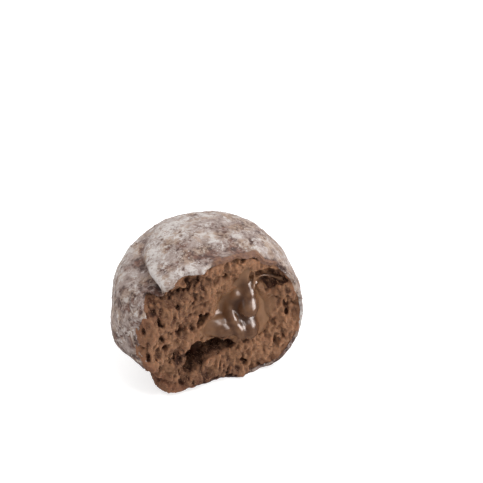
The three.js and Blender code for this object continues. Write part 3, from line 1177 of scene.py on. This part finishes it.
def recess_shade(mesh, rounds, deepest):
    """How deep each vertex lies under the evened out surface, for the materials to paint as shade: 1 at
    the deepest, and -1 as far above.
    """
    bm = bmesh.new()
    bm.from_mesh(mesh)
    even_out(bm, rounds)
    evened = np.array([vertex.co for vertex in bm.verts])
    bm.free()
    depth = ((evened - points_of(mesh)) * points_of(mesh, "normal")).sum(axis=1)
    return np.clip(depth / deepest, -1, 1)


def mark_crumb(mesh, dough):
    """Stores what the crumb's material reads."""
    points = points_of(mesh)
    across, up, out = on_face(points, dough).T
    # How far under the torn face's relief each vertex lies; the crumb's material darkens these pits,
    # partly as darker crumb and partly as painted shade
    store(mesh, "dark_and_pit_shade", np.clip((crumb_relief(across, up, dough) - out) / (2 * MM), -0.5, 1.5))
    # How deep each vertex lies in a hollow, which the crumb's material paints as shade
    store(mesh, "hollow", recess_shade(mesh, rounds=40, deepest=0.45 * MM))
    # The crumb's tone stretches, which hold painted shade and painted light as well as its own tone
    store(mesh, "tone", wide_relief(across, up, CRUMB_TONES_AND_SHADING) / MM)
    store(mesh, "smear", smear_share(across, up))
    depth = skin_depth(points, dough)
    outer = 0.6 * np.clip(-depth / MM, 0, 1) * np.clip(-2 * points_of(mesh, "normal")[:, 0], 0, 1)
    store(mesh, "rind", np.maximum(bell(depth, 1.6 * MM), outer))


def drawn_faces(faces, number, dice):
    """Faces drawn at random by their area, and their middles."""
    chosen = dice.choices(faces, weights=[face.area for face in faces], k=number)
    return chosen, np.array([face.center for face in chosen])


def lying_on(face):
    """Where something stands whose own upright is a face's normal."""
    return Matrix.Translation(face.center) @ face.normal.to_track_quat("Z", "Y").to_matrix().to_4x4()


def loose_grains(crumb_piece, dough, crumb):
    """Small grains of crumb that cling to the torn face."""
    dice = random.Random(31)
    chosen, centres = drawn_faces(crumb_piece.data.polygons, 4 * crumb.grains, dice)
    across, up, out = on_face(centres, dough).T
    shown = (shown_share(centres, dough) > 0.7) & (out > -GRAIN_DEPTH)
    matrices = []
    for face, clear, wet in zip(chosen, shown, smear_share(across, up)):
        if len(matrices) == crumb.grains:
            break
        if not clear or dice.random() < 1.3 * wet:
            continue
        turn, lean = dice.uniform(0, 2 * math.pi), dice.uniform(-0.7, 0.7)
        grain = uneven_bit(lying_on(face), turn, lean, dice, (0.5, 0.9), (0.8, 1.9), (0.5, 1.1))
        matrices.append(grain @ Matrix.Scale(dice.uniform(0.1, 0.22) * MM, 4))
    grains = spheres("crumb_grains", 1, matrices)
    corners = len(grains.data.vertices) // len(matrices)
    store(grains.data, "tone", np.repeat([dice.random() for _ in matrices], corners))
    return grains


class DOUGHNUT_OT_make_crumb(bpy.types.Operator):
    """Make the torn airy inside"""

    bl_idname = "doughnut.make_crumb"
    bl_label = "Crumb"

    def execute(self, context):
        dough = context.scene.doughnut_dough
        settings = context.scene.doughnut_crumb
        inset = dough.skin_thickness - SKIN_OVERLAP
        crumb = combine(whole_ball(dough, inset, detail=6), flap(dough, inset), "UNION")
        front_of(crumb, dough, settings.depth)
        combine(crumb, relief_block(dough, crumb_relief, cell=0.32 * MM))
        remesh(join(crumb, torn_shreds(dough, settings)), settings.facet)
        combine(crumb, face_hollows(dough))
        combine(crumb, pore_bubbles(dough, settings))
        remesh(crumb, settings.facet)
        roughen_crumb(crumb, dough, settings)
        remesh(crumb, settings.facet)
        smooth(crumb, rounds=2)
        thin_out(crumb, triangles=195_000)
        crumb.name = "crumb"
        smooth_shade(crumb)
        mark_crumb(crumb.data, dough)
        finish_piece(crumb, "dough", "dough", torn_crumb(settings))
        grains = loose_grains(crumb, dough, settings)
        finish_piece(grains, "dough", "dough", crumb_grain(settings))
        return {"FINISHED"}


def add_run(bm, run, dough):
    """Adds a thick run of filling along a path on the torn face."""
    matrix = tear_matrix(dough)
    stops = np.array(run)
    for start, end in zip(stops, stops[1:]):
        for step in range(RUN_STEPS + 1):
            across, up, front, radius = start + (end - start) * step / RUN_STEPS
            middle = Matrix.Translation(Vector((across, up, front - RUN_DEPTH * radius)) * MM)
            size = Matrix.Diagonal((radius * MM, radius * MM, RUN_DEPTH * radius * MM, 1))
            bmesh.ops.create_icosphere(bm, subdivisions=3, radius=1, matrix=matrix @ middle @ size)


def add_strand(bm, points, radius, dough):
    """Adds a string of filling, thicker at its ends, along a path on the torn face."""
    matrix = tear_matrix(dough)
    stops = [Vector(point) for point in points]
    for number, (start, end) in enumerate(zip(stops, stops[1:])):
        for step in range(STRAND_STEPS):
            share = (number + step / STRAND_STEPS) / (len(stops) - 1)
            waist = 1 + 1.2 * (2 * share - 1) ** 4
            middle = Matrix.Translation(start.lerp(end, step / STRAND_STEPS) * MM)
            bmesh.ops.create_icosphere(
                bm, subdivisions=2, radius=radius * waist * MM, matrix=matrix @ middle
            )


def film_outline(dough):
    """A lump through the torn face for each oval of the film, joined in one solid."""
    bm = bmesh.new()
    for (across, up), (half_across, half_up), _ in FILM.values():
        lump = ((across, up, 0), (1.5 * half_across, 1.5 * half_up, 9), 0)
        add_lump(bm, lump, dough, roughness=0.1)
    return remesh(from_bmesh("outline", bm), facet=0.5 * MM)


def chocolate_film(dough):
    """The film of filling on the crumb, down to a depth behind the face."""
    film = relief_block(dough, film_relief, cell=0.4 * MM, depth=-FILM_DEPTH)
    combine(film, film_outline(dough), "INTERSECT")
    return combine(film, face_hollows(dough))


class DOUGHNUT_OT_make_filling(bpy.types.Operator):
    """Make the glossy chocolate filling"""

    bl_idname = "doughnut.make_filling"
    bl_label = "Filling"

    def execute(self, context):
        dough = context.scene.doughnut_dough
        settings = context.scene.doughnut_filling
        bm = bmesh.new()
        for lobe in FILLING_LOBES.values():
            add_lump(bm, lobe, dough, grow=-0.3 * MM)
        for run in RUNS.values():
            add_run(bm, run, dough)
        filling = join(from_bmesh("filling", bm), chocolate_film(dough))
        smooth(remesh(filling, settings.facet), rounds=10)
        push_out(filling.data, 0.14 * MM * noise_field(points_of(filling.data), 3.6 * MM, 1, seed=8))
        bm = bmesh.new()
        for points, radius in STRANDS:
            add_strand(bm, points, radius, dough)
        join(filling, from_bmesh("strands", bm))
        smooth(remesh(filling, settings.facet), rounds=4)
        smooth_shade(filling)
        # How deep each vertex lies in a recess of the filling, which its material paints as shade
        store(filling.data, "hollow", recess_shade(filling.data, rounds=30, deepest=0.25 * MM))
        across, up, out = on_face(points_of(filling.data), dough).T
        ground = wide_relief(across, up) + wide_relief(across, up, CRUMB_FORMS.values())
        store(filling.data, "thin", np.clip(1 - (out - ground) / (3 * MM), 0, 1))
        finish_piece(filling, "chocolate_filling", "chocolate_filling", wet_chocolate(settings))
        return {"FINISHED"}


class DOUGHNUT_OT_scatter_sugar(bpy.types.Operator):
    """Scatter small clumps of sugar over the skin"""

    bl_idname = "doughnut.scatter_sugar"
    bl_label = "Sugar"

    def execute(self, context):
        dough = context.scene.doughnut_dough
        settings = context.scene.doughnut_sugar
        crust = bpy.data.objects.get("crust")
        if crust is None:
            raise RuntimeError("Make the crust before its sugar")
        dice = random.Random(21)
        skin = [face for face in crust.data.polygons if face.material_index == 0]
        chosen, centres = drawn_faces(skin, 3 * settings.clumps, dice)
        cover = sugar_cover(unit(centres - ball_middle(dough)), dough)
        cover = cover + 0.35 * noise_field(centres, 1.4 * MM, 2, seed=3) - bare_rim(centres, dough)
        growth = settings.largest_clump / settings.smallest_clump
        matrices = []
        for face, thick in zip(chosen, cover):
            if len(matrices) == settings.clumps:
                break
            if dice.random() > thick or face.center.z < LOWEST_CLUMP:
                continue
            turn = dice.uniform(0, 2 * math.pi)
            clump = uneven_bit(lying_on(face), turn, 0, dice, (0.8, 1.4), (0.7, 1.1), (0.3, 0.6))
            radius = settings.smallest_clump * growth ** (dice.random() ** 2)
            matrices.append(clump @ Matrix.Scale(radius, 4))
        clumps = spheres("sugar_clumps", 1, matrices)
        finish_piece(clumps, "dough", "dough", dry_sugar(settings))
        return {"FINISHED"}


class DOUGHNUT_OT_set_stage(bpy.types.Operator):
    """Set the floor, the lights and the camera"""

    bl_idname = "doughnut.set_stage"
    bl_label = "Stage"

    def execute(self, context):
        stage = context.scene.doughnut_stage
        context.scene.view_settings.view_transform = "Standard"
        self.lay_floor(stage)
        self.light(context)
        data = bpy.data.cameras.new("camera")
        data.sensor_width = 36
        data.lens = stage.lens
        data.clip_start = 0.01
        camera = bpy.data.objects.new("camera", data)
        camera.location = stage.eye
        camera.rotation_euler = (math.pi / 2 - stage.pitch, 0, 0)
        context.scene.collection.objects.link(camera)
        context.scene.camera = camera
        return {"FINISHED"}

    def lay_floor(self, stage):
        bm = bmesh.new()
        bmesh.ops.create_grid(bm, x_segments=1, y_segments=1, size=1.5)
        floor = from_bmesh("floor", bm)
        b = NodeBuilder("pale floor")
        floor.data.materials.append(
            b.set(Base_Color=stage.floor, Roughness=0.6, Emission_Color=(1, 1, 1), Emission_Strength=0.65)
        )
        floor.visible_glossy = False

    def light(self, context):
        self.surround(context)
        for name, lamp in LAMPS.items():
            self.softbox(name, *lamp)
        wet = bpy.data.collections.new("wet")
        wet.objects.link(bpy.data.objects["filling"])
        for name, lamp in GLOSS_LAMPS.items():
            self.softbox(name, *lamp, gloss_of=wet)

    def surround(self, context):
        """A white surround that lights less from the front than from above and behind."""
        b = NodeBuilder("studio", "worlds", "Background", "OutputWorld")
        lean = b.add("VectorMath")
        lean.operation = "DOT_PRODUCT"
        b.connect(b.places["Generated"], lean.inputs[0])
        b.connect(BRIGHTEST_SIDE, lean.inputs[1])
        strength = b.ramp(lean.outputs["Value"], -0.3, 0.6, 0.3, 0.95)
        context.scene.world = b.set(Color=(1, 1, 1), Strength=strength)

    def softbox(self, name, place, sizes, power, gloss_of=None):
        """A lamp that looks at the doughnut, or shows only as gloss on the pieces of a collection."""
        data = bpy.data.lights.new(name, "AREA")
        data.shape = "RECTANGLE"
        data.size, data.size_y = sizes
        data.energy = power
        lamp = bpy.data.objects.new(name, data)
        lamp.location = place
        lamp.rotation_euler = (Vector(LAMP_TARGET) - Vector(place)).to_track_quat("-Z", "Y").to_euler()
        bpy.context.scene.collection.objects.link(lamp)
        if gloss_of:
            data.color = GLOSS_COLOUR
            lamp.light_linking.receiver_collection = gloss_of
            lamp.visible_diffuse = False


class DOUGHNUT_PT_panel(bpy.types.Panel):
    """Shows the doughnut's buttons and settings in the sidebar"""

    bl_idname = "DOUGHNUT_PT_panel"
    bl_label = "Doughnut"
    bl_space_type = "VIEW_3D"
    bl_region_type = "UI"
    bl_category = "Doughnut"

    def draw(self, context):
        for operator in OPERATORS:
            self.layout.operator(operator.bl_idname)
        for name in SETTINGS:
            group = getattr(context.scene, name)
            box = self.layout.box()
            for prop in group.__annotations__:
                box.prop(group, prop)


SETTINGS = {
    "doughnut_dough": DoughSettings,
    "doughnut_crumb": CrumbSettings,
    "doughnut_filling": FillingSettings,
    "doughnut_sugar": SugarSettings,
    "doughnut_stage": StageSettings,
}
OPERATORS = (
    DOUGHNUT_OT_make_crust,
    DOUGHNUT_OT_make_crumb,
    DOUGHNUT_OT_make_filling,
    DOUGHNUT_OT_scatter_sugar,
    DOUGHNUT_OT_set_stage,
)
CLASSES = (*SETTINGS.values(), *OPERATORS, DOUGHNUT_PT_panel)


def register():
    for part in CLASSES:
        bpy.utils.register_class(part)
    for name, group in SETTINGS.items():
        setattr(bpy.types.Scene, name, PointerProperty(type=group))


def unregister():
    for name in SETTINGS:
        delattr(bpy.types.Scene, name)
    for part in reversed(CLASSES):
        bpy.utils.unregister_class(part)


def main():
    register()
    bpy.ops.doughnut.make_crust()
    bpy.ops.doughnut.make_crumb()
    bpy.ops.doughnut.make_filling()
    bpy.ops.doughnut.scatter_sugar()
    bpy.ops.doughnut.set_stage()


if __name__ == "__main__":
    main()
